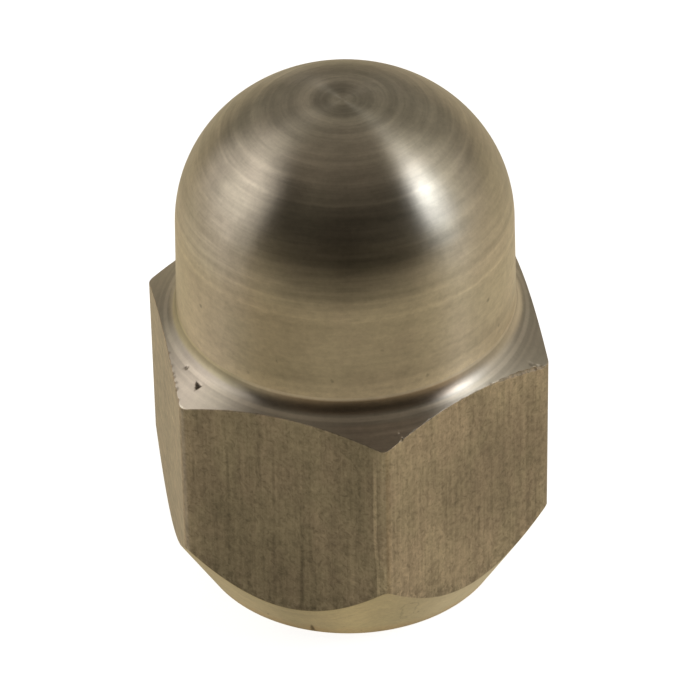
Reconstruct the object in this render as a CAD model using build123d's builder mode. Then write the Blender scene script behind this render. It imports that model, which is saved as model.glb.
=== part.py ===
from build123d import *
import math
import os

# Closed-end lug nut with a 60 degree conical seat, machined in one piece from hexagon bar.
# Frame: millimetres, +Z along the nut's axis towards the domed end, origin at the centre
# of the open end face, which the nut stands on. Two of the hexagon's corners lie on the Y axis.

# ---- driving dimensions ----
across_flats = 22.0         # hexagon, wrench size
corner_r = 0.70             # rounded corners of the hexagon bar
barrel_top_d = 19.90        # turned barrel where it runs into the dome
barrel_foot_d = 20.16       # and at its foot; it widens about 1.2 degrees a side
barrel_top_z = 24.29        # where the barrel turns into the dome
dome_r = 8.58               # radius of the dome's arc, centred off the axis
tip_flat_d = 3.80           # small faced disc at the tip of the dome
shoulder_z = 18.00          # height at which the shoulder chamfer would meet the barrel
shoulder_angle = 30.0       # shoulder chamfer, below horizontal
foot_r = 1.20               # fillet between the barrel and the shoulder chamfer
seat_small_d = 18.48        # open end face, outside diameter before the edge break
seat_half_angle = 30.0      # conical seat, half of the 60 degree cone
edge_break = 0.15           # broken edge between the seat and the end face

thread_minor_d = 12.376     # tapped hole, M14 x 1.5, crests of the internal thread
thread_major_d = 14.0       # roots of the internal thread
mouth_d = 14.6              # countersunk mouth, a little over the thread's major diameter
mouth_angle = 45.0          # countersink, half angle
drill_depth = 24.0          # full-diameter depth of the blind hole
drill_point_angle = 118.0   # included angle of the drill point

# ---- derived ----
top_r = barrel_top_d / 2
foot_edge_r = barrel_foot_d / 2
taper = math.atan2(foot_edge_r - top_r, barrel_top_z - shoulder_z)
arc_cx = top_r - dome_r * math.cos(taper)                    # arc centre's distance from the axis
arc_cz = barrel_top_z - dome_r * math.sin(taper)             # and its height: the arc runs on from the barrel
tip_r = tip_flat_d / 2
height = arc_cz + math.sqrt(dome_r ** 2 - (tip_r - arc_cx) ** 2)
apothem = across_flats / 2
outer_r = apothem / math.cos(math.radians(30)) + 1.0          # beyond the hexagon's corners
shoulder_out_z = shoulder_z - (outer_r - foot_edge_r) * math.tan(math.radians(shoulder_angle))
seat_r = seat_small_d / 2
seat_out_z = (outer_r - seat_r) / math.tan(math.radians(seat_half_angle))
bore_r = thread_minor_d / 2
mouth_r = mouth_d / 2
mouth_depth = (mouth_r - bore_r) / math.tan(math.radians(mouth_angle))
point_h = bore_r / math.tan(math.radians(drill_point_angle / 2))

# a point halfway round the dome's arc, for the three-point arc
a0 = taper
a1 = math.atan2(height - arc_cz, tip_r - arc_cx)
am = (a0 + a1) / 2
arc_mid = (arc_cx + dome_r * math.cos(am), arc_cz + dome_r * math.sin(am))

# ---- the turned outside: seat cone, clearance for the hexagon, shoulder, barrel and dome ----
with BuildPart() as turned:
    with BuildSketch(Plane.XZ) as turned_section:
        with BuildLine() as turned_outline:
            Polyline(
                (0, height),
                (0, 0),
                (seat_r, 0),
                (outer_r, seat_out_z),
                (outer_r, shoulder_out_z),
                (foot_edge_r, shoulder_z),
                (top_r, barrel_top_z),
            )
            ThreePointArc((top_r, barrel_top_z), arc_mid, (tip_r, height))
            Line((tip_r, height), (0, height))
        make_face()
        foot_corner = turned_section.vertices().sort_by_distance((foot_edge_r, 0, shoulder_z))[0]
        fillet(foot_corner, foot_r)
        seat_corner = turned_section.vertices().sort_by_distance((seat_r, 0, 0))[0]
        chamfer(seat_corner, edge_break)
    revolve(axis=Axis.Z)

# ---- the hexagon bar with its rounded corners, corners on +Y and -Y ----
with BuildPart() as hexagon_bar:
    with BuildSketch(Plane.XY) as hexagon_section:
        RegularPolygon(apothem, 6, major_radius=False, rotation=30)
        fillet(hexagon_section.vertices(), corner_r)
    extrude(amount=height)

# ---- the nut: the turned form kept inside the bar, with the blind tapped hole ----
with BuildPart() as lug_nut:
    add(turned.part)
    add(hexagon_bar.part, mode=Mode.INTERSECT)
    with BuildSketch(Plane.XZ) as bore_section:
        with BuildLine() as bore_outline:
            Polyline(
                (0, -1.0),
                (mouth_r + 1.0 * math.tan(math.radians(mouth_angle)), -1.0),
                (mouth_r, 0),
                (bore_r, mouth_depth),
                (bore_r, drill_depth),
                (0, drill_depth + point_h),
                (0, -1.0),
            )
        make_face()
    revolve(axis=Axis.Z, mode=Mode.SUBTRACT)

lug_nut.part.label = "lug_nut"

os.makedirs("parts", exist_ok=True)
export_step(lug_nut.part, "parts/lug_nut.step")

box = lug_nut.part.bounding_box()
print("lug_nut size", round(box.size.X, 3), round(box.size.Y, 3), round(box.size.Z, 3))
print("lowest", round(box.min.Z, 4), "highest", round(box.max.Z, 4))
print("volume mm3", round(lug_nut.part.volume, 1))
print("thread crest radius", round(bore_r, 3), "wall from z", round(mouth_depth, 3), "to", drill_depth)
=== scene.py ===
import bpy
import bmesh
import math
import numpy as np
from mathutils import Matrix, Vector


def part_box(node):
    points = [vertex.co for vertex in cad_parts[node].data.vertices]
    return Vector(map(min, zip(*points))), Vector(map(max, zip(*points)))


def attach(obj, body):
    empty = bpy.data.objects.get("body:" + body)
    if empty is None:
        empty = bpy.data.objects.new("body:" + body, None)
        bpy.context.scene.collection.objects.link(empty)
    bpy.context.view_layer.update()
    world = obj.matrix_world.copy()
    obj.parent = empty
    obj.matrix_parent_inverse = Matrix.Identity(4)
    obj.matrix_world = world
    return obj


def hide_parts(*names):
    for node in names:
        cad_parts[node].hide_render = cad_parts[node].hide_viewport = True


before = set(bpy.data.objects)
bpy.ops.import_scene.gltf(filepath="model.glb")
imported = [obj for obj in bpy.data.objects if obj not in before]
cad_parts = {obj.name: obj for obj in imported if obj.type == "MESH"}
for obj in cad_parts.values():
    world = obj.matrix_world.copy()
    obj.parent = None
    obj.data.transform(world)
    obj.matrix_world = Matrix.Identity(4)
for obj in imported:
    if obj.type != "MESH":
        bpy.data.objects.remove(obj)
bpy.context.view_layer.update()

MM = 0.001
lo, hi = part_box("lug_nut")

# ------------------------------------------------------------------ the nut's dimensions, mm, as in the CAD model
APOTHEM = (hi.x - lo.x) / 2 / MM
CORNER_R = 0.70
TOP_R, FOOT_EDGE_R = 19.90 / 2, 20.16 / 2
BARREL_TOP = 24.29
DOME_R = 8.58
TIP_R = 1.90
SHOULDER_Z = 18.00
TAN30, COS30, SIN30 = math.tan(math.radians(30)), math.cos(math.radians(30)), 0.5
FOOT_R = 1.20
SEAT_R = 9.24
EDGE = 0.15
CREST_R = 12.376 / 2
ROOT_R = 7.0
PITCH = 1.5
MOUTH_R = 7.3
DRILL = 24.0
TAPER = math.atan2(FOOT_EDGE_R - TOP_R, BARREL_TOP - SHOULDER_Z)
ARC_CX = TOP_R - DOME_R * math.cos(TAPER)
ARC_CZ = BARREL_TOP - DOME_R * math.sin(TAPER)
HEIGHT = hi.z / MM
D_CORNER = (APOTHEM - CORNER_R) / COS30        # corner rounding's centre, from the axis


def hexagon(th):
    """Radius of the rounded hexagon at azimuth th (radians from -Y towards +X); corners at 0, 60, ... degrees."""
    d = (th + math.pi / 6) % (math.pi / 3) - math.pi / 6          # from the nearest corner
    flat = APOTHEM / np.cos(np.pi / 6 - np.abs(d))
    q = np.maximum(CORNER_R ** 2 - (D_CORNER * np.sin(d)) ** 2, 0)
    rounded = D_CORNER * np.cos(d) + np.sqrt(q)
    tangent = math.radians(30) - math.atan2(D_CORNER * SIN30, APOTHEM)
    return np.where(np.abs(d) < tangent, rounded, flat), tangent


TANGENT = float(hexagon(np.zeros(1))[1])

# nicks along the edge between the shoulder and the flats: azimuth, depth mm, half width in degrees
NICKS = [(-79.2, 0.08, 0.50), (-76.4, 0.03, 0.45), (-74.0, 0.07, 0.45), (-71.2, 0.08, 0.42), (-69.7, 0.09, 0.40),
         (-67.8, 0.09, 0.45), (-65.7, 0.09, 0.50), (-62.6, 0.08, 0.50), (-47.0, 0.03, 1.0), (-38.0, 0.03, 0.8),
         (-22.0, 0.03, 0.7), (-9.0, 0.03, 0.8), (5.3, 0.09, 0.45), (9.5, 0.04, 0.5), (15.0, 0.05, 0.7), (21.0, 0.04, 0.6),
         (27.5, 0.05, 0.8), (33.5, 0.05, 0.7), (39.2, 0.06, 0.9), (43.6, 0.05, 1.4), (47.5, 0.06, 1.1), (50.4, 0.09, 1.3),
         (53.1, 0.07, 1.0), (55.2, 0.10, 0.9), (57.4, 0.10, 0.9)]


def edge_width(th):
    """How much of the shoulder's outer edge is broken away, mm."""
    deg = np.degrees(th)
    b = np.full(len(th), 0.034)
    wave = 0.0
    for k, (f, p) in enumerate(((7, 0.3), (17, 1.9), (31, 4.0), (53, 2.2), (83, 5.1))):
        wave = wave + np.sin(f * th + p) / (k + 1.5)
    b = b + 0.008 * wave
    b = b + 0.06 * np.exp(-((deg - 50) / 8.0) ** 2)
    for a, d, w in NICKS:
        b = b + d * np.exp(-((deg - a) / w) ** 2)
    return np.maximum(b, 0.018)


# ------------------------------------------------------------------ columns of the outside, denser where it is worn
def columns():
    c = list(np.radians(np.arange(-180, 180, 2.0)))
    for k in range(6):
        a = math.radians(60 * k)
        for f in np.linspace(-1, 1, 11):
            # equal steps of the rounding's normal
            t = math.radians(30) * f
            x, y = CORNER_R * math.sin(t), D_CORNER + CORNER_R * math.cos(t)
            c.append(a + math.atan2(x, y))
    dense = [(-81, -61.8, 0.26), (-61.8, -59.2, 0.16), (-59.2, -57, 0.3), (-57, 3.6, 1.0), (3.6, 6.2, 0.2), (6.2, 36, 0.8),
             (36, 54, 0.4), (54, 58.6, 0.2)]
    for a, b, step in dense:
        c += list(np.radians(np.arange(a, b + 1e-9, step)))
    c = np.mod(np.array(c) + math.pi, 2 * math.pi) - math.pi
    c = np.sort(c)
    keep = [c[0]]
    exact = [math.radians(60 * k) + s * TANGENT for k in range(-3, 4) for s in (-1, 1)]
    for v in c[1:]:
        if v - keep[-1] > math.radians(0.10):
            keep.append(v)
    keep = np.array(keep)
    for e in exact:                                    # the tangent lines sit exactly on a column
        e = (e + math.pi) % (2 * math.pi) - math.pi
        keep[np.argmin(np.abs(keep - e))] = e
    return np.unique(keep)


th = columns()
NC = len(th)
rh, _ = hexagon(th)
B = edge_width(th)

rows = []            # (r, z, s, zone of the strip above this row)
TIP, TURNED, CONE, FLAT, SEAT, FACE, BORE = range(7)


def row(r, z, s, zone):
    rows.append((np.broadcast_to(np.asarray(r, float), NC).copy(), np.broadcast_to(np.asarray(z, float), NC).copy(),
                 np.broadcast_to(np.asarray(s, float), NC).copy(), zone))


for r in np.linspace(0.2, TIP_R - 0.02, 8):
    row(r, HEIGHT, r, TIP)
a1 = math.atan2(HEIGHT - ARC_CZ, TIP_R - ARC_CX)
for a in np.concatenate([[a1 - 0.003], np.linspace(a1 - 0.03, TAPER, 44)]):
    row(ARC_CX + DOME_R * math.cos(a), ARC_CZ + DOME_R * math.sin(a), TIP_R + DOME_R * (a1 - a), TURNED)
s_dome = TIP_R + DOME_R * (a1 - TAPER)
tangent_len = FOOT_R * math.tan((math.radians(60) - TAPER) / 2)
up_r, up_z = FOOT_EDGE_R - tangent_len * math.sin(TAPER), SHOULDER_Z + tangent_len * math.cos(TAPER)
for f in np.linspace(0, 1, 7)[1:]:
    row(TOP_R + (up_r - TOP_R) * f, BARREL_TOP + (up_z - BARREL_TOP) * f, s_dome + math.hypot(up_r - TOP_R, up_z - BARREL_TOP) * f, TURNED)
s_barrel = s_dome + math.hypot(up_r - TOP_R, up_z - BARREL_TOP)
o_r, o_z = up_r + FOOT_R * math.cos(TAPER), up_z + FOOT_R * math.sin(TAPER)
for a in np.linspace(TAPER, math.radians(60), 13)[1:]:
    row(o_r - FOOT_R * math.cos(a), o_z - FOOT_R * math.sin(a), s_barrel + FOOT_R * (a - TAPER), CONE)
s_foot = s_barrel + FOOT_R * (math.radians(60) - TAPER)
r_foot, zc_foot = rows[-1][0][0], rows[-1][1][0]

z_sh = SHOULDER_Z - (rh - FOOT_EDGE_R) * TAN30
for u in np.linspace(0, 1, 25)[1:]:
    f = 1 - (1 - u) ** 1.35
    r = r_foot + (rh - B * COS30 - r_foot) * f
    z = zc_foot - (r - r_foot) * TAN30
    row(r, z, s_foot + (r - r_foot) / COS30, CONE)
hollow = np.clip((B - 0.05) / 0.08, 0, 1)              # deep nicks are cut in, the rest is only rounded off
row(rh - (0.22 + 0.30 * hollow) * B, z_sh - (0.16 + 0.12 * hollow) * B, s_foot + (rh - r_foot) / COS30, FLAT)
row(rh, z_sh - B, s_foot + (rh - r_foot) / COS30 + B, FLAT)
z_se = (rh - SEAT_R) / TAN30
LOW = 0.035
f_flat = np.concatenate([[0.006, 0.014, 0.03, 0.06], np.linspace(0.12, 1, 12)])
for f in f_flat:
    z = (z_sh - B) + ((z_se + LOW) - (z_sh - B)) * f
    row(rh, z, 40 - z, FLAT)
row(rh - 0.12 * LOW, z_se - 0.2 * LOW, 40 - z_se, SEAT)
for f in np.linspace(0, 1, 13):
    r = rh - LOW * SIN30 - (rh - LOW * SIN30 - (SEAT_R + EDGE * SIN30)) * f
    z = (r - SEAT_R) / TAN30
    row(r, z, 60 + (rh - r) / SIN30, SEAT)
row(SEAT_R - EDGE * 0.45, EDGE * 0.25, 90.0, SEAT)
row(SEAT_R - EDGE, 0.0, 90.1, SEAT)
for r in np.linspace(SEAT_R - EDGE, 7.45, 4)[1:]:
    row(r, 0.0, 95 - r, FACE)

NR = len(rows)
bevel_rows = [i for i in range(1, NR) if rows[i][3] == FLAT][:2]
R = np.array([r[0] for r in rows])
Z = np.array([r[1] for r in rows])
S = np.array([r[2] for r in rows])
ZONE = np.array([r[3] for r in rows])
X = R * np.sin(th)[None]
Y = -R * np.cos(th)[None]
P = np.stack([X, Y, Z], -1)                            # (row, column, xyz), mm

# dents in the shoulder: a three-cornered pit, a speck, and burrs standing up beside two small dents
az = np.broadcast_to(th[None], R.shape)
cone_n = np.stack([np.sin(az) * SIN30, -np.cos(az) * SIN30, np.full(R.shape, COS30)], -1)
on_cone = ((ZONE == CONE)[:, None] & (R > r_foot - 1e-6))
lift = np.zeros(R.shape)


def dot(p, c, r, depth):
    d = np.linalg.norm(p - np.array(c), axis=-1) / r
    return depth * np.clip(1 - d * d, 0, 1) ** 1.5


TRI = np.array([(-9.808, -5.062, 17.446), (-9.538, -5.611, 17.429), (-9.920, -5.636, 17.231)])


def inside(p, tri):
    """Distance inside a small triangle lying on the shoulder, mm; negative outside."""
    n = np.cross(tri[1] - tri[0], tri[2] - tri[0])
    n = n / np.linalg.norm(n)
    mid = tri.mean(0)
    best = None
    for i in range(3):
        a, b = tri[i], tri[(i + 1) % 3]
        w = np.cross(n, b - a)
        w = w / np.linalg.norm(w)
        if np.dot(mid - a, w) < 0:
            w = -w
        d = (p - a) @ w
        best = d if best is None else np.minimum(best, d)
    return np.where(np.abs((p - mid) @ n) < 0.3, best, -1)


pit = np.clip((inside(P, TRI) + 0.03) / 0.15, 0, 1)
lift -= 0.13 * pit * pit * (3 - 2 * pit)
lift -= dot(P, (-10.173, -3.831, 17.542), 0.16, 0.05)
lift -= dot(P, (9.80, -6.64, 16.98), 0.20, 0.015)
lift += dot(P, (10.01, -6.77, 16.84), 0.16, 0.035)
lift -= dot(P, (10.25, -6.72, 16.74), 0.22, 0.03)
lift += dot(P, (0.955, -11.67, 17.05), 0.11, 0.02)
lift += dot(P, (1.115, -11.92, 16.91), 0.11, 0.02)
lift = np.where(on_cone, lift, 0.0)
P = P + cone_n * lift[..., None]
P[..., 2] = np.minimum(P[..., 2], HEIGHT)
P[..., 1] = np.clip(P[..., 1], lo.y / MM + 1e-5, hi.y / MM - 1e-5)

# ------------------------------------------------------------------ faces of the outside
verts = [np.array([[0.0, 0.0, HEIGHT]])]
verts.append(P.reshape(-1, 3))
attr_s = [np.array([0.0]), S.reshape(-1)]
wear_and_painted_light = np.zeros((NR, NC))
wear_and_painted_light[bevel_rows] = 1.0
attr_e = [np.array([0.0]), wear_and_painted_light.reshape(-1)]
faces, fzone = [], []
col = np.arange(NC)
nxt = (col + 1) % NC
for j in range(NC):
    faces.append((0, 1 + j, 1 + nxt[j]))
    fzone.append(TIP)
quads = []
for i in range(NR - 1):
    a, b = 1 + i * NC + col, 1 + i * NC + nxt
    c, d = 1 + (i + 1) * NC + nxt, 1 + (i + 1) * NC + col
    quads.append(np.stack([a, d, c, b], 1))
    fzone += [ZONE[i + 1]] * NC
faces += [tuple(q) for q in np.concatenate(quads)]

# ------------------------------------------------------------------ the bore: mouth, right-hand thread, drilled end
NB = 128
tb = -math.pi + np.arange(NB + 1) * 2 * math.pi / NB   # last column repeats the first
Z_THREAD = 21.0


def thread_r(z, t):
    """Wall radius of the hole at height z and azimuth t; the groove climbs one pitch a turn, right-handed."""
    w = np.abs((z + PITCH * t / (2 * math.pi) + PITCH / 2) % PITCH - PITCH / 2)
    depth = np.clip((0.5625 - w) / (0.5625 - 0.094), 0, 1) * (ROOT_R - CREST_R)
    depth *= np.clip((Z_THREAD - z) / 1.1, 0, 1)
    wall = CREST_R + depth
    return np.maximum(wall, MOUTH_R - z)


phases = [-0.5625, -0.40, -0.25, -0.094, 0.094, 0.25, 0.40, 0.5625, 0.75]
levels = np.array(sorted(k * PITCH + p for k in range(-2, int(Z_THREAD / PITCH) + 3) for p in phases))
zt = levels[:, None] - PITCH * tb[None] / (2 * math.pi)
zt = np.clip(zt, 0.0, Z_THREAD)
live = [i for i in range(len(levels)) if not (np.all(zt[i] == 0.0) and (i + 1 < len(levels) and np.all(zt[i + 1] == 0.0)))
        and not (np.all(zt[i] == Z_THREAD) and np.all(zt[i - 1] == Z_THREAD))]
zt = zt[live]
zt[:, -1] = np.where(zt[:, -1] > 1e-9, zt[:, -1], 0.0)
rt = thread_r(zt, tb[None])
b_r = [rt[i] for i in range(len(zt))]
b_z = [zt[i] for i in range(len(zt))]
for z in (21.6, 22.8, DRILL):
    b_r.append(np.full(NB + 1, CREST_R))
    b_z.append(np.full(NB + 1, z))
point_h = CREST_R / math.tan(math.radians(59))
for f in (0.75, 0.5, 0.25, 0.06):
    b_r.append(np.full(NB + 1, CREST_R * f))
    b_z.append(np.full(NB + 1, DRILL + point_h * (1 - f)))
BR, BZ = np.array(b_r), np.array(b_z)
BP = np.stack([BR * np.sin(tb)[None], -BR * np.cos(tb)[None], BZ], -1)
base = 1 + NR * NC
verts.append(BP.reshape(-1, 3))
attr_s.append((120 + BZ).reshape(-1))
attr_e.append(np.zeros(BZ.size))
apex_i = base + BP.shape[0] * (NB + 1)
verts.append(np.array([[0.0, 0.0, DRILL + point_h]]))
attr_s.append(np.array([150.0]))
attr_e.append(np.array([0.0]))
W = NB + 1
for i in range(BP.shape[0] - 1):
    for j in range(NB):
        a = base + i * W + j
        # counted so that the faces look towards the axis
        faces.append((a, a + W, a + W + 1, a + 1))
        fzone.append(BORE)
last = base + (BP.shape[0] - 1) * W
for j in range(NB):
    faces.append((last + j, apex_i, last + j + 1))
    fzone.append(BORE)
# the end face's inner strip joins the dense outside to the bore's mouth
outer = 1 + (NR - 1) * NC
i = j = 0
ta = th
while i < NC or j < NB:
    next_out = ta[i + 1] if i + 1 < NC else (ta[0] + 2 * math.pi if i < NC else 1e9)
    next_in = tb[j + 1] if j < NB else 1e9
    if i < NC and (next_out <= next_in or j >= NB):
        faces.append((outer + i, base + min(j, NB), outer + (i + 1) % NC))
        i += 1
    else:
        faces.append((outer + i % NC, base + j, base + j + 1))
        j += 1
    fzone.append(FACE)

V = np.concatenate(verts)
SA = np.concatenate(attr_s)

# ------------------------------------------------------------------ the mesh
me = bpy.data.meshes.new("nut")
me.from_pydata((V * MM).tolist(), [], faces)
at = me.attributes.new("turn_s", "FLOAT", "POINT")
at.data.foreach_set("value", SA.astype(np.float32))
ae = me.attributes.new("edge", "FLOAT", "POINT")
ae.data.foreach_set("value", np.concatenate(attr_e).astype(np.float32))
zone_to_slot = {TIP: 0, TURNED: 0, CONE: 3, FLAT: 1, SEAT: 4, FACE: 4, BORE: 2}
me.polygons.foreach_set("material_index", np.array([zone_to_slot[z] for z in fzone], np.int32))
me.update()

bm = bmesh.new()
bm.from_mesh(me)
bmesh.ops.remove_doubles(bm, verts=bm.verts, dist=2e-7)
bmesh.ops.dissolve_degenerate(bm, edges=bm.edges, dist=1e-7)
bmesh.ops.recalc_face_normals(bm, faces=bm.faces)
bm.to_mesh(me)
loose = [e for e in bm.edges if len(e.link_faces) != 2]
open_edges = len(loose)
for e in loose[:4]:
    print("open edge at", [round(c * 1000, 3) for c in e.verts[0].co], [round(c * 1000, 3) for c in e.verts[1].co])
volume = bm.calc_volume(signed=True)
bm.free()
if volume < 0:
    me.flip_normals()
me.polygons.foreach_set("use_smooth", np.ones(len(me.polygons), bool))
me.set_sharp_from_angle(angle=math.radians(24))
me.update()
nut = bpy.data.objects.new("lug_nut_body", me)
bpy.context.scene.collection.objects.link(nut)
tris = sum(len(p.vertices) - 2 for p in me.polygons)
print("nut: columns", NC, "rows", NR, "triangles", tris, "open edges", open_edges, "volume mm3", abs(volume) * 1e9)


# ------------------------------------------------------------------ node helpers
def new_material(name):
    m = bpy.data.materials.new(name)
    m.use_nodes = True
    nt = m.node_tree
    for n in list(nt.nodes):
        nt.nodes.remove(n)
    out = nt.nodes.new("ShaderNodeOutputMaterial")
    bs = nt.nodes.new("ShaderNodeBsdfPrincipled")
    nt.links.new(bs.outputs[0], out.inputs["Surface"])
    return m, nt, bs


class G:
    """Short ways to add nodes to one tree."""

    def __init__(self, nt):
        self.nt = nt

    def _put(self, sock, v):
        if v is None:
            return
        if hasattr(v, "is_output"):
            self.nt.links.new(v, sock)
        else:
            sock.default_value = v

    def math(self, op, a, b=None, c=None, clamp=False):
        n = self.nt.nodes.new("ShaderNodeMath")
        n.operation, n.use_clamp = op, clamp
        self._put(n.inputs[0], a), self._put(n.inputs[1], b), self._put(n.inputs[2], c)
        return n.outputs[0]

    def vmath(self, op, a, b=None, scale=None):
        n = self.nt.nodes.new("ShaderNodeVectorMath")
        n.operation = op
        self._put(n.inputs[0], a), self._put(n.inputs[1], b)
        if scale is not None:
            self._put(n.inputs["Scale"], scale)
        return n.outputs["Value" if op in ("DOT_PRODUCT", "LENGTH", "DISTANCE") else "Vector"]

    def add(self, *v):
        t = v[0]
        for q in v[1:]:
            t = self.math("ADD", t, q)
        return t

    def mul(self, *v):
        t = v[0]
        for q in v[1:]:
            t = self.math("MULTIPLY", t, q)
        return t

    def around(self, v, amp):
        """Noise v, centred on 0.5, as a signed number of strength amp."""
        return self.math("MULTIPLY_ADD", v, 2 * amp, -amp)

    def sep(self, v):
        n = self.nt.nodes.new("ShaderNodeSeparateXYZ")
        self._put(n.inputs[0], v)
        return n.outputs

    def comb(self, x, y, z):
        n = self.nt.nodes.new("ShaderNodeCombineXYZ")
        self._put(n.inputs[0], x), self._put(n.inputs[1], y), self._put(n.inputs[2], z)
        return n.outputs[0]

    def noise(self, v, scale=1.0, detail=2.0, rough=0.5):
        n = self.nt.nodes.new("ShaderNodeTexNoise")
        n.noise_dimensions = "3D"
        self._put(n.inputs["Vector"], v)
        n.inputs["Scale"].default_value = scale
        n.inputs["Detail"].default_value = detail
        n.inputs["Roughness"].default_value = rough
        return n.outputs[0]

    def range(self, v, a, b, c=0.0, d=1.0, smooth=True):
        n = self.nt.nodes.new("ShaderNodeMapRange")
        n.interpolation_type = "SMOOTHSTEP" if smooth else "LINEAR"
        self._put(n.inputs["Value"], v)
        for k, q in (("From Min", a), ("From Max", b), ("To Min", c), ("To Max", d)):
            self._put(n.inputs[k], q)
        return n.outputs[0]

    def ramp(self, v, stops, interp="LINEAR"):
        n = self.nt.nodes.new("ShaderNodeValToRGB")
        cr = n.color_ramp
        cr.interpolation = interp
        while len(cr.elements) > 1:
            cr.elements.remove(cr.elements[-1])
        cr.elements[0].position = stops[0][0]
        for k, (pos, c) in enumerate(stops):
            e = cr.elements[0] if k == 0 else cr.elements.new(pos)
            e.color = (*c, 1) if hasattr(c, "__len__") else (c, c, c, 1)
        self._put(n.inputs[0], v)
        return n.outputs[0]

    def curve(self, s, s0, s1, stops, interp="EASE"):
        """A number given at places along the turned profile, as a signed value round 0.5."""
        f = self.math("DIVIDE", self.math("SUBTRACT", s, s0), s1 - s0)
        c = self.ramp(f, [((a - s0) / (s1 - s0), 0.5 + v) for a, v in stops], interp)
        return self.math("SUBTRACT", self.sep(c)[0], 0.5)

    def mix(self, f, a, b, kind="MIX"):
        n = self.nt.nodes.new("ShaderNodeMix")
        n.data_type, n.blend_type = "RGBA", kind
        self._put(n.inputs["Factor"], f)
        self._put(n.inputs[6], a), self._put(n.inputs[7], b)
        return n.outputs[2]

    def scale(self, c, f):
        """Colour c times the number f."""
        return self.vmath("SCALE", c, scale=f)

    def rgb(self, c):
        n = self.nt.nodes.new("ShaderNodeCombineColor")
        n.inputs[0].default_value, n.inputs[1].default_value, n.inputs[2].default_value = c
        return n.outputs[0]

    def bump(self, h, dist, normal=None, strength=1.0):
        n = self.nt.nodes.new("ShaderNodeBump")
        n.inputs["Strength"].default_value = strength
        n.inputs["Distance"].default_value = dist
        self._put(n.inputs["Height"], h)
        if normal is not None:
            self._put(n.inputs["Normal"], normal)
        return n.outputs[0]

    def coord(self):
        n = self.nt.nodes.new("ShaderNodeTexCoord")
        return n.outputs["Object"]

    def attr(self, name):
        n = self.nt.nodes.new("ShaderNodeAttribute")
        n.attribute_name = name
        return n.outputs["Fac"]

    def geo(self):
        return self.nt.nodes.new("ShaderNodeNewGeometry").outputs

    def spot(self, pos, c, r, soft=0.5):
        """1 inside a small ball round c, fading to 0 at radius r."""
        return self.range(self.vmath("DISTANCE", pos, c), r, r * (1 - soft))

    def spots(self, pos, many):
        t = None
        for c, r, k in many:
            v = self.mul(self.spot(pos, c, r, 0.8), k)
            t = v if t is None else self.math("MAXIMUM", t, v)
        return t

    def stroke(self, pos, a, b, w, soft=0.7):
        """1 along the line from a to b, fading to 0 at distance w."""
        a, b = Vector(a), Vector(b)
        d = b - a
        v = self.vmath("SUBTRACT", pos, tuple(a))
        t = self.math("MULTIPLY", self.vmath("DOT_PRODUCT", v, tuple(d)), 1 / d.length_squared, clamp=True)
        q = self.vmath("SUBTRACT", v, self.vmath("SCALE", tuple(d), scale=t))
        return self.range(self.vmath("LENGTH", q), w, w * (1 - soft))


STEEL = (0.60, 0.55, 0.47)


def hand(pos, many):
    return [(c, r, k) for c, r, k in many]


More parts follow.
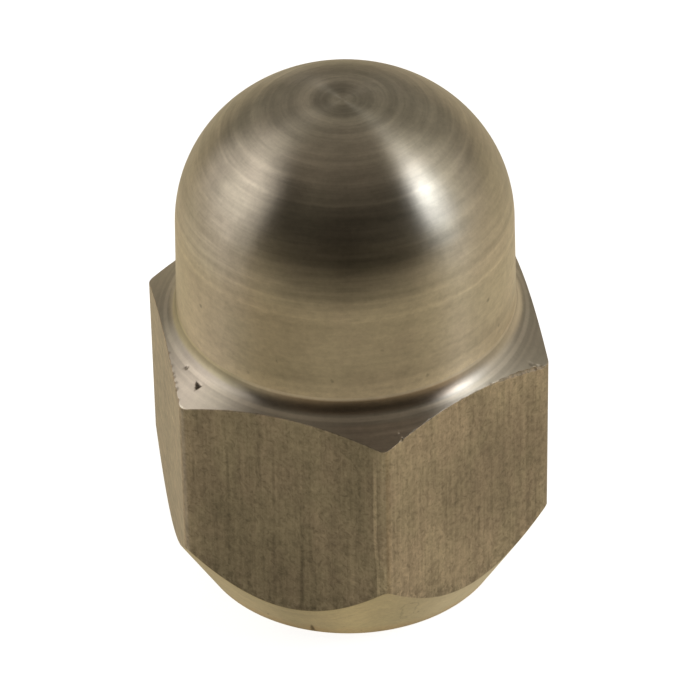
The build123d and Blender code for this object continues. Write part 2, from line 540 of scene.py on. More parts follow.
# ------------------------------------------------------------------ turned steel
def turned(name, colour, rough, aniso, part):
    m, nt, bs = new_material(name)
    g = G(nt)
    pos = g.vmath("SCALE", g.coord(), scale=1000.0)            # mm
    x, y, z = g.sep(pos)
    r = g.math("SQRT", g.add(g.mul(x, x), g.mul(y, y)))
    s = g.attr("turn_s")
    normal = g.geo()["Normal"]
    around = g.vmath("NORMALIZE", g.comb(g.mul(y, -1.0), x, 0.0))
    along = g.vmath("CROSS_PRODUCT", around, normal)
    nt.links.new(along, bs.inputs["Tangent"])

    # turning marks: noise drawn out round the axis
    def rings(slow, fast, detail, seed, lean=0.0):
        v = g.comb(g.mul(x, slow), g.mul(y, slow), g.add(g.mul(s, fast), g.mul(y, lean), seed))
        return g.noise(v, 1.0, detail, 0.6)
    fine = rings(0.30, 6.5, 2.0, 3.0)
    mid = rings(0.16, 2.2, 2.0, 17.0)
    broad = rings(0.07, 0.7, 1.0, 41.0)
    dash = rings(1.5, 3.0, 3.0, 23.0)
    grain = g.noise(pos, 3.6, 3.0, 0.75)
    cloud = g.noise(pos, 0.8, 2.0, 0.6)
    amp = {"dome": (0.14, 0.24, 0.16, 0.14, 0.16, 0.10), "cone": (0.10, 0.12, 0.06, 0.10, 0.12, 0.06), "seat": (0.08, 0.09, 0.06, 0.08, 0.20, 0.09)}[part]
    if part == "dome":
        # below the dome the rings fade into a dull, short-grained surface
        plain = g.range(s, 12.6, 15.0)
        ring_amp = g.mul(g.math("SUBTRACT", 1.0, g.mul(plain, 0.74)), g.range(x, 0.5, 6.0, 1.06, 0.80))
        dash_amp = g.add(1.0, g.mul(plain, 0.5))
    elif part == "cone":
        ring_amp = g.add(0.62, g.mul(g.spot(pos, (0.5, -11.2, 17.3), 4.2, 0.8), 1.1))
        dash_amp = ring_amp
    else:
        ring_amp, dash_amp = 1.0, 1.0
    tone = g.add(1.0, g.mul(g.add(g.around(fine, amp[0]), g.around(mid, amp[1]), g.around(broad, amp[2])), ring_amp),
                 g.mul(g.around(dash, amp[3]), dash_amp), g.around(grain, amp[4]), g.around(cloud, amp[5]))
    # small marks are never quite round
    jag = g.vmath("ADD", pos, g.comb(g.around(g.noise(pos, 5.5, 1.0), 0.10), g.around(g.noise(g.vmath("ADD", pos, (9.0, 4.0, 2.0)), 5.5, 1.0), 0.10), g.around(grain, 0.10)))
    normal_out = None
    if part == "dome":
        low = g.curve(s, 0.0, 10.0, [(0, 0), (1.85, 0), (2.05, .13), (2.35, .13), (2.72, .02), (2.9, -.10), (3.1, -.13), (3.35, 0), (3.75, -.03),
                                     (4.1, -.08), (4.5, 0), (4.84, .07), (5.1, .03), (5.4, .11), (5.65, 0), (5.88, -.06), (6.2, 0), (6.7, .07), (7.1, 0),
                                     (7.5, 0), (7.82, .13), (8.05, 0), (8.25, -.06), (8.55, 0), (9.3, -.03), (9.6, 0), (10, 0)])
        high = g.curve(s, 10.0, 21.0, [(10, 0), (11.5, 0), (11.85, -.07), (12.2, 0), (12.73, .07), (13.0, 0), (13.3, -.13), (13.5, 0), (13.68, .11), (13.9, .03),
                                       (14.15, .06), (14.4, 0), (14.77, .13), (15.05, 0), (15.31, -.05), (15.6, 0), (17.8, 0), (18.0, -.05), (18.2, 0),
                                       (19.1, .04), (19.5, .05), (19.8, -.02), (20.1, 0), (21, 0)])
        lines = g.mul(g.add(low, high), g.range(mid, 0.3, 0.7, 0.55, 1.35))
        # painted light and shade: the barrel is painted a little darker some way above the fillet and brighter just
        # above it, less so at the far left
        foot = g.curve(s, s_barrel - 2.2, s_barrel + 0.2, [(s_barrel - 2.2, 0), (s_barrel - 1.2, -.10), (s_barrel - .7, .07), (s_barrel - .15, .26), (s_barrel + .2, .30)])
        foot = g.mul(foot, g.range(x, -9.6, -7.0, 0.35, 1.0))
        tone = g.mul(tone, g.add(1.0, lines, foot))
        # painted shade: two broad darker patches on the front of the dome, one of them a band across it
        tone = g.mul(tone, g.math("SUBTRACT", 1.0, g.mul(g.spot(pos, (0.2, -9.1, 27.6), 4.4, 0.8), g.range(s, 10.6, 11.15), g.range(s, 12.0, 11.35), 0.32)))
        tone = g.mul(tone, g.math("SUBTRACT", 1.0, g.mul(g.spot(pos, (0.2, -6.6, 30.9), 3.6, 0.8), 0.17)))
        # painted light: the lower dome's left and right sides are painted brighter
        tone = g.mul(tone, g.add(1.0, g.mul(g.spot(pos, (9.4, -3.3, 21.5), 5.5, 0.8), 0.12), g.mul(g.spot(pos, (-9.8, -1.5, 20.5), 4.5, 0.8), 0.10)))
        # painted shade: darker bands across the brightest side's highlight
        highlight_shade_bands = g.curve(s, 5.8, 10.8, [(5.8, 0), (6.6, -.08), (7.3, -.19), (7.75, -.10), (8.1, .0), (8.5, -.08), (8.9, -.15), (9.6, -.16), (10.3, .04), (10.8, 0)])
        tone = g.mul(tone, g.add(1.0, g.mul(highlight_shade_bands, g.spot(pos, (4.98, -5.93, 29.85), 3.6, 0.7))))
        # the little faced disc at the tip, with painted shade: four darker patches round a paler middle, less dark
        # towards the right
        on_tip = g.range(z, HEIGHT - 0.6, HEIGHT - 0.3)
        wob = g.noise(pos, 1.6, 2.0, 0.5)
        rt_ = g.add(r, g.around(wob, 0.22))
        turn4 = g.math("COSINE", g.mul(g.math("ARCTAN2", y, x), 4.0))
        lobes = g.math("MULTIPLY_ADD", turn4, 0.22, 0.78)
        lobes = g.mul(lobes, g.range(x, 0.2, 1.3, 1.0, 0.62))
        disc = g.mul(g.range(rt_, 1.98, 1.55), g.range(g.vmath("LENGTH", g.comb(g.mul(x, 0.62), y, 0.0)), 0.22, 0.75), lobes)
        tone = g.mul(tone, g.math("SUBTRACT", 1.0, g.mul(disc, on_tip, 0.26)))
        # small dark and pale specks
        dark = g.spots(jag, [((-9.18, -3.9, 22.0), 0.20, 0.42), ((-8.05, -4.9, 25.6), 0.16, 0.30), ((7.2, -6.95, 22.3), 0.20, 0.36),
                             ((-2.5, -9.7, 19.9), 0.18, 0.28), ((3.1, -9.55, 19.4), 0.20, 0.30), ((8.0, -6.1, 19.7), 0.16, 0.30), ((6.0, -8.2, 21.3), 0.14, 0.25),
                             ((-5.5, -8.4, 20.8), 0.14, 0.25), ((0.4, -10.0, 21.9), 0.12, 0.22), ((-7.0, -7.2, 19.3), 0.16, 0.25)])
        tone = g.mul(tone, g.math("SUBTRACT", 1.0, dark))
        pale = g.spots(jag, [((-0.1, -7.9, 28.2), 0.12, 0.7), ((-1.9, -9.3, 25.7), 0.11, 0.5), ((2.6, -9.4, 24.9), 0.10, 0.4)])
        tone = g.mul(tone, g.add(1.0, pale))
        # shallow waves left by the tool, as heights along the profile
        wave = g.curve(s, 6.0, 16.0, [(6, 0), (7.0, .05), (7.6, -.10), (8.2, .10), (8.75, -.05), (9.4, -.25), (10.1, .25), (10.75, -.25), (11.35, .30), (11.9, .0),
                                      (12.4, -.10), (12.9, .12), (13.4, -.08), (13.9, .08), (14.6, .0), (16, 0)], "B_SPLINE")
        normal_out = g.bump(wave, 0.000026)
    if part == "cone":
        # painted light and shade along the profile: a dark band where the fillet leaves the barrel, and a painted
        # highlight line where it meets the cone
        line = g.curve(s, s_barrel, s_foot + 2.6, [(s_barrel, .06), (s_barrel + .14, .04), (s_barrel + .28, -.28), (s_barrel + .45, -.24), (s_barrel + .65, -.13), (s_foot - .30, -.16), (s_foot - .12, -.03), (s_foot + .02, .30), (s_foot + .16, .30), (s_foot + .30, .0), (s_foot + .5, -.05),
                                                  (s_foot + .62, .05), (s_foot + .8, -.06), (s_foot + 1.1, .04), (s_foot + 1.4, -.04), (s_foot + 2.6, 0)])
        tone = g.mul(tone, g.add(1.0, line))
        # painted light: the fillet's front half is painted brighter by azimuth, most to the right
        az_f = g.mul(g.math("ARCTAN2", x, g.mul(y, -1.0)), 180 / math.pi)
        fillet_painted_light = g.curve(az_f, -90.0, 100.0, [(-90, .05), (-75, .09), (-62, .0), (-50, -.04), (-40, .20), (-30, .26), (0, .22), (16, .12), (36, .08), (46, .26), (55, .42), (72, .50), (100, .30)])
        tone = g.mul(tone, g.add(1.0, g.mul(fillet_painted_light, g.range(s, s_foot - 0.12, s_foot - 0.38), g.range(y, 2.5, -1.0))))
        # painted shade: a darker patch on the cone just below the fillet, front right
        tone = g.mul(tone, g.math("SUBTRACT", 1.0, g.mul(g.spot(pos, (3.9, -10.1, 17.3), 3.0, 0.8), g.range(s, s_foot, s_foot + 0.15), 0.20)))
        # painted light and shade on the cone: darker in front and to the right, brighter to the left
        tone = g.mul(tone, g.math("SUBTRACT", 1.0, g.mul(g.spot(pos, (0.3, -11.6, 17.2), 6.0, 0.8), 0.13)))
        tone = g.mul(tone, g.math("SUBTRACT", 1.0, g.mul(g.spot(pos, (8.2, -7.6, 17.0), 5.5, 0.7), 0.13)))
        tone = g.mul(tone, g.add(1.0, g.mul(g.spot(pos, (-9.6, -6.2, 17.0), 3.4, 0.6), g.range(s, s_foot + 0.25, s_foot + 0.5), 0.16)))
    dirt = None
    if part == "cone":
        mid_t = TRI.mean(0)
        tri_n = np.cross(TRI[1] - TRI[0], TRI[2] - TRI[0])
        tri_n = tri_n / np.linalg.norm(tri_n)
        halves = []
        for i in range(3):
            a, b = TRI[i], TRI[(i + 1) % 3]
            w = np.cross(tri_n, b - a)
            w = w / np.linalg.norm(w)
            if np.dot(mid_t - a, w) < 0:
                w = -w
            d = g.add(g.vmath("DOT_PRODUCT", pos, tuple(float(q) for q in w)), -float(np.dot(a, w)))
            halves.append(d)
        tri_d = g.math("MINIMUM", g.math("MINIMUM", halves[0], halves[1]), halves[2])
        pit_m = g.mul(g.range(g.add(tri_d, g.around(grain, 0.05)), -0.05, 0.09), g.spot(pos, tuple(float(q) for q in mid_t), 0.7, 0.2))
        specks = g.spots(jag, [((-10.173, -3.831, 17.542), 0.19, 0.5), ((-10.36, -3.74, 17.44), 0.14, 0.25), ((9.80, -6.64, 16.98), 0.2, 0.45),
                               ((10.24, -6.73, 16.73), 0.22, 0.5), ((0.80, -11.8, 17.0), 0.12, 0.3), ((-6.4, -8.9, 17.3), 0.09, 0.3)])
        dirt = g.math("MAXIMUM", g.mul(pit_m, 0.78), g.mul(specks, 0.6))
        teeth = g.spots(jag, [((-10.93, -2.07, 17.35), 0.22, 0.5), ((-10.93, -3.13, 17.22), 0.20, 0.45), ((-10.93, -3.71, 17.12), 0.20, 0.5), ((-10.93, -4.03, 17.06), 0.19, 0.55),
                              ((-10.92, -4.44, 16.98), 0.19, 0.5), ((-10.92, -4.92, 16.88), 0.2, 0.5), ((-10.95, -5.70, 16.66), 0.18, 0.4), ((6.98, -8.60, 17.40), 0.25, 0.25)])
        dirt = g.math("MAXIMUM", dirt, g.mul(teeth, 0.62))
        # painted highlights: glints on the small raised burrs, and a bright line that stands in for a burr at the left
        # corner
        glint = g.spots(pos, [((10.01, -6.77, 16.84), 0.16, 1.0), ((0.955, -11.67, 17.05), 0.13, 1.0), ((1.115, -11.92, 16.91), 0.14, 1.0), ((10.42, -6.66, 16.66), 0.08, 0.2)])
        burr_highlight = g.math("MAXIMUM", g.stroke(pos, (-10.96, -6.10, 16.58), (-10.84, -6.32, 16.57), 0.12), g.mul(g.stroke(pos, (-10.84, -6.33, 16.57), (-9.9, -6.88, 16.70), 0.055), 0.6))
        glint = g.math("MAXIMUM", glint, burr_highlight)
        tone = g.mul(tone, g.math("MULTIPLY_ADD", glint, 0.40, 1.0))
    if part == "seat":
        # a nick at the rim, a drying ring, small marks, and a brownish lower edge
        nick_w = g.range(z, 0.30, 1.20, 0.22, 0.04, False)
        side_ = g.math("ABSOLUTE", g.add(g.mul(x, 0.915), g.mul(y, -0.404), g.around(grain, 0.05), -0.015))
        nick = g.mul(g.range(g.math("DIVIDE", side_, nick_w), 1.2, 0.2), g.range(z, 0.16, 0.36), g.range(z, 1.25, 0.8), g.range(y, 0.0, -1.0))
        few = g.noise(pos, 2.6, 1.0)
        dots = g.mul(g.range(few, 0.70, 0.78), g.range(z, 1.9, 0.6))
        dirt = g.math("MAXIMUM", g.mul(nick, 0.62), g.spots(jag, [((-2.15, -10.4, 2.6), 0.13, 0.35), ((2.35, -10.15, 2.0), 0.13, 0.30), ((2.75, -9.9, 1.8), 0.11, 0.25)]))
        dirt = g.math("MAXIMUM", dirt, g.mul(dots, 0.35))
        az_ = g.mul(g.math("ARCTAN2", x, g.mul(y, -1.0)), 180 / math.pi)
        qa = g.math("ABSOLUTE", g.math("DIVIDE", g.add(az_, -8.9), 2.5))
        qr = g.math("ABSOLUTE", g.math("DIVIDE", g.add(r, -10.82), 0.55))
        q = g.add(g.math("POWER", g.add(g.math("POWER", qa, 4.0), g.math("POWER", qr, 4.0)), 0.25), g.around(grain, 0.35), g.around(g.noise(pos, 1.7, 1.0), 0.7))
        ring_ = g.mul(g.range(q, 0.78, 0.95), g.range(q, 1.18, 1.0))
        tone = g.mul(tone, g.math("SUBTRACT", 1.0, g.mul(ring_, g.range(grain, 0.35, 0.6, 0.06, 0.26))))
        tone = g.mul(tone, g.add(1.0, g.mul(g.range(z, 0.7, 0.15), -0.10)))
        # painted light and shade round the seat: darker towards the front right, brighter at both sides
        tone = g.mul(tone, g.add(1.0, g.curve(az_, -80.0, 80.0, [(-80, 0), (-55, .14), (-40, .07), (-30, -.05), (-18, .03), (-10, .04), (0, 0), (20, -.05), (32, -.15), (42, -.10), (52, .16), (62, .14), (80, 0)])))
    tint = g.range(g.noise(g.vmath("ADD", pos, (3.0, 8.0, 1.0)), 0.22, 2.0, 0.6), 0.35, 0.65)
    warm_c, cool_c = (colour[0] * 1.010, colour[1] * 0.996, colour[2] * 0.998), (colour[0] * 1.000, colour[1] * 1.004, colour[2] * 0.990)
    colour_out = g.scale(g.mix(tint, g.rgb(warm_c), g.rgb(cool_c)), tone)
    metal = 1.0
    if part == "dome":
        yellow = g.mul(plain, g.range(x, -1.0, -9.0, 0.35, 1.0))
        colour_out = g.mix(yellow, colour_out, g.vmath("MULTIPLY", colour_out, (1.012, 0.985, 0.915)))
    if part == "cone":
        brown = g.mul(g.spot(pos, (0.0, -10.4, 18.4), 7.5, 0.5), g.range(s, s_foot - 0.10, s_foot - 0.38), g.range(s, s_barrel + 0.12, s_barrel + 0.26))
        colour_out = g.mix(g.mul(g.spot(pos, (0.2, -11.6, 17.2), 5.0, 0.8), g.range(s, s_foot + 0.3, s_foot + 0.6)), colour_out, g.vmath("MULTIPLY", colour_out, (1.01, 0.955, 0.935)))
        colour_out = g.mix(brown, colour_out, g.scale(g.rgb((0.685, 0.555, 0.44)), tone))
        upper = g.mul(g.range(s, s_foot - 0.35, s_foot - 0.60), g.range(x, -6.5, -8.5))
        colour_out = g.mix(upper, colour_out, g.vmath("MULTIPLY", colour_out, (1.0, 1.0, 0.84)))
    if part == "seat":
        colour_out = g.mix(g.range(x, 5.0, -2.0), colour_out, g.vmath("MULTIPLY", colour_out, (1.005, 0.995, 0.90)))
        brown = g.mul(g.range(z, 1.3, 0.2), g.range(cloud, 0.28, 0.55, 0.35, 1.0), g.range(z, 0.02, 0.10))
        stain = g.mul(g.spot(pos, (-3.85, -8.6, 0.5), 1.0, 0.9), 0.55)
        colour_out = g.mix(g.math("MAXIMUM", g.mul(brown, 0.55), stain), colour_out, g.scale(g.rgb((0.60, 0.43, 0.235)), tone))
    if dirt is not None:
        colour_out = g.mix(dirt, colour_out, g.rgb((0.085, 0.058, 0.034)))
        metal = g.math("SUBTRACT", 1.0, g.mul(dirt, 0.7))
    nt.links.new(colour_out, bs.inputs["Base Color"])
    ro = g.add(rough, g.around(mid, 0.014), g.around(grain, 0.010))
    if part == "cone":                                        # the fillet was left smoother than the cone
        ro = g.add(ro, g.mul(g.range(s, s_foot - 0.1, s_foot + 0.25, 1.0, 0.0), -0.02))
    ro = g.math("MAXIMUM", ro, 0.281)
    if dirt is not None:
        ro = g.add(ro, g.mul(dirt, 0.3))
        nt.links.new(metal, bs.inputs["Metallic"])
    else:
        bs.inputs["Metallic"].default_value = 1.0
    nt.links.new(ro, bs.inputs["Roughness"])
    bs.inputs["Anisotropic"].default_value = aniso
    h = g.add(g.mul(fine, 1.0), g.mul(mid, 1.8))
    b = g.bump(h, {"dome": 0.0000022, "cone": 0.0000009, "seat": 0.000003}[part], normal=normal_out)
    nt.links.new(g.bump(grain, {"dome": 0.0000014, "cone": 0.0000005, "seat": 0.000002}[part], normal=b), bs.inputs["Normal"])
    return m


# ------------------------------------------------------------------ drawn flats: matte, mottled, streaked lengthwise
def drawn():
    m, nt, bs = new_material("drawn_flats")
    g = G(nt)
    pos = g.vmath("SCALE", g.coord(), scale=1000.0)
    x, y, z = g.sep(pos)
    normal = g.geo()["Normal"]
    across = g.vmath("CROSS_PRODUCT", (0.0, 0.0, 1.0), normal)
    nt.links.new(across, bs.inputs["Tangent"])

    def streaks(k, kz, detail, seed):
        v = g.comb(g.math("MULTIPLY_ADD", x, k, seed), g.mul(y, k), g.mul(z, kz))
        return g.noise(v, 1.0, detail, 0.6)
    thin = streaks(4.5, 0.16, 2.0, 5.0)
    hair = streaks(9.0, 0.40, 1.0, 9.0)
    wide = streaks(0.9, 0.07, 2.0, 11.0)
    # short curled grain
    bend = g.vmath("ADD", pos, g.comb(g.around(g.noise(pos, 1.7, 1.0), 0.35), g.around(g.noise(g.vmath("ADD", pos, (7.0, 3.0, 5.0)), 1.7, 1.0), 0.35), 0.0))
    bx, by, bz = g.sep(bend)
    grain = g.noise(g.comb(bx, by, g.mul(bz, 0.55)), 3.1, 3.0, 0.7)
    speck = g.noise(g.comb(bx, by, g.mul(bz, 0.8)), 6.5, 1.0, 0.5)
    cloud = g.noise(g.comb(x, y, g.mul(z, 0.6)), 0.42, 3.0, 0.6)
    side = g.range(g.vmath("DOT_PRODUCT", normal, (-1.0, 0.0, 0.0)), 0.93, 0.995)
    keep = g.math("SUBTRACT", 1.0, g.mul(side, 0.55))
    tone = g.add(1.0, g.mul(g.around(thin, 0.29), keep), g.mul(g.around(hair, 0.08), keep), g.around(wide, 0.20), g.around(g.range(grain, 0.30, 0.70), 0.17), g.around(speck, 0.12), g.around(cloud, 0.26))
    fleck = g.noise(g.comb(g.add(bx, g.mul(bz, 0.25)), by, g.mul(bz, 0.75)), 4.6, 1.5, 0.5)
    tone = g.mul(tone, g.math("SUBTRACT", 1.0, g.mul(g.range(fleck, 0.55, 0.70), keep, 0.20)), g.add(1.0, g.mul(g.range(fleck, 0.38, 0.28), 0.12)))
    cross = g.noise(g.comb(0.0, g.mul(y, 0.55), g.mul(z, 2.3)), 1.0, 3.0, 0.7)
    tone = g.mul(tone, g.add(1.0, g.mul(g.around(g.range(cross, 0.3, 0.7), 0.22), side)))
    # painted light and shade: each side of the bar is painted lighter or darker
    for face, k in (((-0.5, -0.866, 0.0), -0.15), ((0.5, -0.866, 0.0), 0.20), ((-1.0, 0.0, 0.0), 0.12), ((-0.5, 0.866, 0.0), -0.06), ((1.0, 0.0, 0.0), 0.04)):
        tone = g.mul(tone, g.add(1.0, g.mul(g.range(g.vmath("DOT_PRODUCT", normal, face), 0.93, 0.995), k)))
    # painted light and shade: broad paler and darker patches on the flats
    tone = g.mul(tone, g.add(1.0, g.mul(g.spot(pos, (2.6, -11.2, 6.5), 5.5, 0.9), 0.15), g.mul(g.spot(pos, (7.4, -8.4, 11.0), 6.5, 0.8), -0.24), g.mul(g.spot(pos, (-2.3, -11.2, 9.5), 4.5, 0.8), 0.11), g.mul(g.spot(pos, (-7.6, -8.3, 5.5), 4.0, 0.8), -0.10),
                             g.mul(g.spot(pos, (-6.0, -9.3, 15.0), 8.0, 0.8), 0.14)))
    # painted highlight: a pale line where the flat runs into the front corner; it leans a little
    u = g.add(g.mul(x, 0.8660), g.mul(y, -0.5))
    foot = g.range(z, 10.5, 6.5)
    bent = g.add(u, g.mul(foot, -0.20))
    off = g.math("ABSOLUTE", g.add(bent, g.mul(z, -0.009), -5.59))
    front = g.mul(g.range(y, -11.5, -11.9), g.range(x, 0.05, -0.1))
    pale = g.mul(g.range(off, 0.15, 0.05), front, g.range(z, 16.6, 14.5), g.range(speck, 0.2, 0.5, 0.7, 1.0))
    tone = g.mul(tone, g.math("MULTIPLY_ADD", pale, 0.56, 1.0))
    # painted light on the rounded corner beside it: paler, more so low down, a little darker high up
    corner_painted_light = g.curve(bent, 5.72, 6.56, [(5.74, 0), (5.84, .10), (5.95, .24), (6.03, .24), (6.13, .15), (6.30, .06), (6.40, .12), (6.48, .08), (6.56, -.06)], "LINEAR")
    corner_painted_light = g.add(corner_painted_light, g.mul(g.curve(u, 5.8, 6.6, [(5.85, 0), (5.97, .6), (6.03, 1), (6.3, .75), (6.55, .45), (6.6, 0)], "LINEAR"),
                           g.curve(z, 5.5, 16.5, [(5.8, .15), (7.0, .14), (8.9, .08), (10.0, -.03), (11.5, -.09), (16.5, -.11)], "LINEAR")))
    tone = g.mul(tone, g.add(1.0, g.mul(corner_painted_light, g.range(y, -11.9, -12.2), g.range(x, 0.6, 0.4))))
    # painted light low on the flat just left of the front corner
    tone = g.mul(tone, g.add(1.0, g.mul(g.spot(pos, (-1.2, -12.0, 7.0), 2.6, 0.9), g.range(x, 0.1, -0.1), 0.13)))
    # and painted light on the left corner and the edge of the flat beside it
    wear_and_painted_light = g.curve(u, -8.6, -4.5, [(-8.5, 0), (-7.4, .09), (-6.45, .10), (-6.3, .13), (-6.15, .23), (-5.95, .28), (-5.8, .22), (-5.6, .13), (-5.1, .06), (-4.6, 0)], "LINEAR")
    tone = g.mul(tone, g.add(1.0, g.mul(wear_and_painted_light, g.range(y, -2.0, -3.0), g.range(x, -5.0, -6.0))))
    # scratches and drawing lines down the front-left flat
    left = g.range(y, -4.0, -5.0)
    on_left = g.mul(left, g.range(x, -0.3, -0.6))
    def line(u0, lean, w, z0, z1, k):
        o = g.math("ABSOLUTE", g.add(u, g.mul(z, -lean), -u0))
        return g.mul(g.range(o, w, w * 0.2), g.range(z, z0, z0 + 1.5), g.range(z, z1, z1 - 2.0), on_left, k)
    scr = g.mul(line(0.905, 0.0205, 0.20, 2.4, 13.2, 1.0), g.range(z, 11.0, 4.5, 0.12, 0.34))
    scr = g.math("MAXIMUM", scr, line(-0.75, 0.012, 0.16, 3.0, 16.5, 0.16))
    scr = g.math("MAXIMUM", scr, line(1.55, 0.010, 0.14, 6.0, 16.8, 0.15))
    scr = g.math("MAXIMUM", scr, line(-3.6, 0.010, 0.15, 5.0, 15.0, 0.18))
    broken = g.noise(g.comb(x, y, g.mul(z, 0.5)), 2.0, 2.0)
    scr = g.mul(scr, g.range(broken, 0.36, 0.55, 0.25, 1.0))
    tone = g.mul(tone, g.math("SUBTRACT", 1.0, scr))
    # and two faint ones down the front-right flat
    v = g.add(g.mul(x, 0.8660), g.mul(y, 0.5))
    on_right = g.mul(g.range(y, -4.0, -5.0), g.range(x, 0.3, 0.6))
    bar_ = g.curve(v, 3.5, 5.0, [(3.5, 0), (3.85, -.05), (4.2, -.05), (4.33, .13), (4.5, .15), (4.65, -.02), (5.0, 0)])
    tone = g.mul(tone, g.add(1.0, g.mul(bar_, on_right, g.range(broken, 0.36, 0.55, 0.5, 1.0))))
    # paler, rubbed patches along the lower edge
    low = g.mul(g.range(g.add(z, g.mul(g.vmath("LENGTH", g.comb(x, y, 0.0)), -1.732)), -14.9, -15.8), g.range(grain, 0.42, 0.62))
    tone = g.mul(tone, g.math("MULTIPLY_ADD", low, 0.16, 1.0))
    warm = g.noise(g.comb(x, y, g.mul(z, 0.5)), 0.55, 3.0, 0.6)
    colour = g.mix(g.range(warm, 0.36, 0.64), g.rgb((0.376, 0.314, 0.247)), g.rgb((0.368, 0.317, 0.243)))
    dull = g.range(g.vmath("DOT_PRODUCT", normal, (-0.5, -0.866, 0.0)), 0.78, 0.88)
    colour = g.mix(dull, colour, g.vmath("MULTIPLY", colour, (0.975, 1.015, 1.06)))
    edge = g.attr("edge")
    # painted light: the broken edge strip is painted paler
    tone = g.mul(tone, g.add(1.0, g.mul(edge, 0.55)))
    nt.links.new(g.scale(colour, tone), bs.inputs["Base Color"])
    nt.links.new(g.add(g.math("MULTIPLY_ADD", grain, 0.08, 0.29), g.mul(edge, 0.30)), bs.inputs["Roughness"])
    bs.inputs["Metallic"].default_value = 1.0
    bs.inputs["Anisotropic"].default_value = 0.2
    h = g.add(g.mul(thin, 1.0), g.mul(grain, 1.2), g.mul(speck, 0.3))
    nt.links.new(g.bump(h, 0.000006), bs.inputs["Normal"])
    return m


def tapped():
    m, nt, bs = new_material("tapped_bore")
    g = G(nt)
    pos = g.vmath("SCALE", g.coord(), scale=1000.0)
    x, y, z = g.sep(pos)
    n1 = g.noise(g.comb(g.mul(x, 0.3), g.mul(y, 0.3), g.mul(z, 9.0)), 1.0, 2.0, 0.6)
    n2 = g.noise(pos, 1.5, 3.0, 0.6)
    tone = g.add(g.math("MULTIPLY_ADD", n1, 0.3, 0.75), g.math("MULTIPLY_ADD", n2, 0.3, -0.10))
    nt.links.new(g.scale(g.rgb((0.50, 0.46, 0.40)), tone), bs.inputs["Base Color"])
    nt.links.new(g.math("MULTIPLY_ADD", n2, 0.2, 0.28), bs.inputs["Roughness"])
    bs.inputs["Metallic"].default_value = 1.0
    nt.links.new(g.bump(n1, 0.000004), bs.inputs["Normal"])
    return m


for mat in (turned("turned_steel", STEEL, 0.297, 0.90, "dome"), drawn(), tapped(),
            turned("turned_shoulder", (0.665, 0.61, 0.535), 0.302, 0.90, "cone"),
            turned("turned_seat", (0.65, 0.588, 0.455), 0.36, 0.6, "seat")):
    me.materials.append(mat)

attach(nut, "root")
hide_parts("lug_nut")


# ------------------------------------------------------------------ soft studio light
def wall(stops):
    return [((a + 180) / 360, v) for a, v in stops]


def tilt(stops):
    return [((e + 90) / 180, v) for e, v in stops]


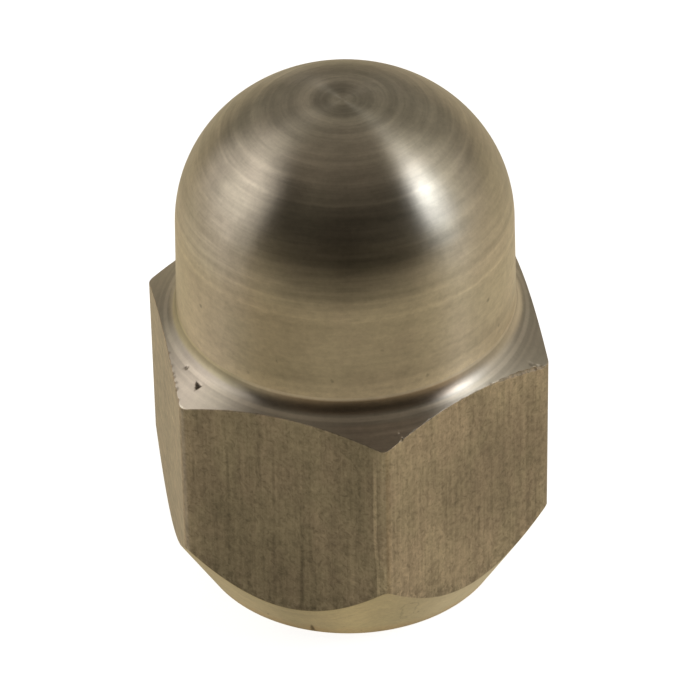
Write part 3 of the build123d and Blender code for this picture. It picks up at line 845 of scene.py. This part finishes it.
def studio():
    w = bpy.data.worlds.new("studio")
    bpy.context.scene.world = w
    w.use_nodes = True
    nt = w.node_tree
    for n in list(nt.nodes):
        nt.nodes.remove(n)
    g = G(nt)
    out = nt.nodes.new("ShaderNodeOutputWorld")
    d = nt.nodes.new("ShaderNodeTexCoord").outputs["Generated"]
    x, y, z = g.sep(d)
    # azimuth from -Y towards +X, turned so that 0 is where the nut is looked at from
    az = g.mul(g.math("ARCTAN2", x, g.mul(y, -1.0)), 180 / math.pi)
    az = g.math("WRAP", g.add(az, 9.36), 180.0, -180.0)
    el = g.mul(g.math("ARCSINE", z), 180 / math.pi)
    fa = g.math("DIVIDE", g.add(az, 180.0), 360.0)
    fe = g.math("DIVIDE", g.add(el, 90.0), 180.0)

    def light(azs, els, colour, k):
        a = g.ramp(fa, wall(azs))
        e = g.ramp(fe, tilt(els))
        n = nt.nodes.new("ShaderNodeCombineColor")
        for i in range(3):
            n.inputs[i].default_value = colour[i] * k
        return g.vmath("MULTIPLY", g.vmath("MULTIPLY", a, e), n.outputs[0])

    right = light([(64, 0), (67, .149), (70, .347), (73, .536), (78, .71), (84, .577), (92, .24), (102, .039), (114, .03), (130, 0)],
                  [(0, .014), (8, .022), (16, .079), (24, .253), (32, .496), (40, 1.25), (48, .317), (54, .03), (60, .007), (66, 0)], (.933, 1, 1.067), 8)
    left = light([(-140, 0), (-124, .422), (-112, .509), (-102, .801), (-94, .764), (-86, .893), (-80, .555), (-74, .418), (-70, .34), (-67, .233), (-64, 0)],
                  [(0, .111), (8, .725), (16, .321), (24, .781), (32, .469), (40, .967), (48, .371), (56, .029), (62, 0)], (1.058, 1, .926), 2)
    floor = light([(-180, .384), (-150, .314), (-130, .298), (-100, .222), (-80, .192), (-60, .303), (-40, .312), (-20, .408), (0, .42), (20, .423), (40, .361), (60, .397), (80, .356), (100, .298), (130, .323), (150, .318), (180, .384)],
                  [(-90, .86), (-62, .34), (-46, .247), (-34, .955), (-24, .562), (-14, .976), (-5, .207), (0, 1.345), (3, 0)], (1.164, 1, .686), 1.95)
    front = light([(-80, 0), (-70, .057), (-50, .328), (-30, .807), (0, 1), (30, .804), (50, .468), (70, .043), (80, 0)],
                  [(-28, 0), (-22, .714), (-14, 1), (-6, 1), (0, .72), (3, .547)], (1, 1, 1), 1)
    lit = g.vmath("SUBTRACT", (1.0, 1.0, 1.0), front)
    floor = g.vmath("MULTIPLY", floor, lit)
    back = light([(-180, .357), (-130, .374), (-100, .095), (-72, .032), (-66, 0), (66, 0), (72, .05), (100, 1.268), (130, .459), (180, .357)],
                  [(0, .078), (12, .64), (25, .929), (40, .631), (55, 1.075), (68, .052), (78, 0)], (1.089, 1, .806), .68)
    top = light([(-180, .832), (180, .832)],
                  [(58, 0), (62, .721), (70, .772), (80, .831), (90, .344)], (1.144, 1, .783), .26)
    under = light([(-180, 0), (-168, .149), (-152, 1), (-130, .8), (-110, .35), (-90, 0), (90, 0), (110, .8), (130, 1.9), (152, 2), (168, .4), (180, 0)],
                  [(-76, 0), (-64, .753), (-54, .909), (-44, .413), (-38, 0)], (1.164, 1, .686), .34)
    floor = g.vmath("ADD", floor, under)
    haze = light([(-64, .6), (-40, 1), (-20, .35), (0, 0), (20, .5), (40, 1), (64, .6)], [(14, 0), (26, .7), (36, 1), (46, 1), (60, .4), (70, 0)], (1.1, 1.0, 0.8), 0.028)
    top = g.vmath("ADD", top, haze)
    total = g.vmath("ADD", g.vmath("ADD", right, left), g.vmath("ADD", g.vmath("ADD", floor, back), top))
    bg = nt.nodes.new("ShaderNodeBackground")
    nt.links.new(total, bg.inputs[0])
    pale = nt.nodes.new("ShaderNodeBackground")
    pale.inputs[0].default_value = (1, 1, 1, 1)
    pale.inputs[1].default_value = 1.03
    mixs = nt.nodes.new("ShaderNodeMixShader")
    nt.links.new(nt.nodes.new("ShaderNodeLightPath").outputs["Is Camera Ray"], mixs.inputs[0])
    nt.links.new(bg.outputs[0], mixs.inputs[1])
    nt.links.new(pale.outputs[0], mixs.inputs[2])
    nt.links.new(mixs.outputs[0], out.inputs[0])


studio()

# ------------------------------------------------------------------ pale floor
fm = bpy.data.meshes.new("floor")
q = 1.6
n = 33
gx = np.linspace(-q, q, n)
fv = [(a, b, -0.00002) for b in gx for a in gx]
ff = [(i * n + j, i * n + j + 1, (i + 1) * n + j + 1, (i + 1) * n + j) for i in range(n - 1) for j in range(n - 1)]
fm.from_pydata(fv, [], ff)
floor_ob = bpy.data.objects.new("studio_floor", fm)
bpy.context.scene.collection.objects.link(floor_ob)
mat = bpy.data.materials.new("pale_floor")
mat.use_nodes = True
nt = mat.node_tree
for nd in list(nt.nodes):
    nt.nodes.remove(nd)
g = G(nt)
out = nt.nodes.new("ShaderNodeOutputMaterial")
dif = nt.nodes.new("ShaderNodeBsdfDiffuse")
dif.inputs[0].default_value = (0.8, 0.8, 0.79, 1)
em = nt.nodes.new("ShaderNodeEmission")
em.inputs[1].default_value = 0.88
add = nt.nodes.new("ShaderNodeAddShader")
nt.links.new(dif.outputs[0], add.inputs[0])
nt.links.new(em.outputs[0], add.inputs[1])
nt.links.new(add.outputs[0], out.inputs[0])
fm.materials.append(mat)
floor_ob.visible_glossy = False
floor_ob.visible_diffuse = False
floor_ob.visible_shadow = False
floor_ob.visible_transmission = False

# ------------------------------------------------------------------ camera
cam_data = bpy.data.cameras.new("camera")
cam = bpy.data.objects.new("camera", cam_data)
bpy.context.scene.collection.objects.link(cam)
cam_data.lens = 268.65988
cam_data.sensor_width = 36.0
cam_data.clip_start, cam_data.clip_end = 0.01, 10.0
right_v = Vector((0.984694098559979, -0.1736978605181467, -0.014373082918039362))
up_v = Vector((0.1176222500390321, 0.6014111984813207, 0.790233874645359))
back_v = Vector((-0.12861780031125475, -0.7798292271982886, 0.6126367911335511))
rot = Matrix((right_v, up_v, back_v)).transposed()
cam.matrix_world = Matrix.Translation((-0.039944447, -0.243227611, 0.205470181)) @ rot.to_4x4()
bpy.context.scene.camera = cam

bpy.context.scene.view_settings.view_transform = "Standard"
bpy.context.scene.view_settings.look = "None"
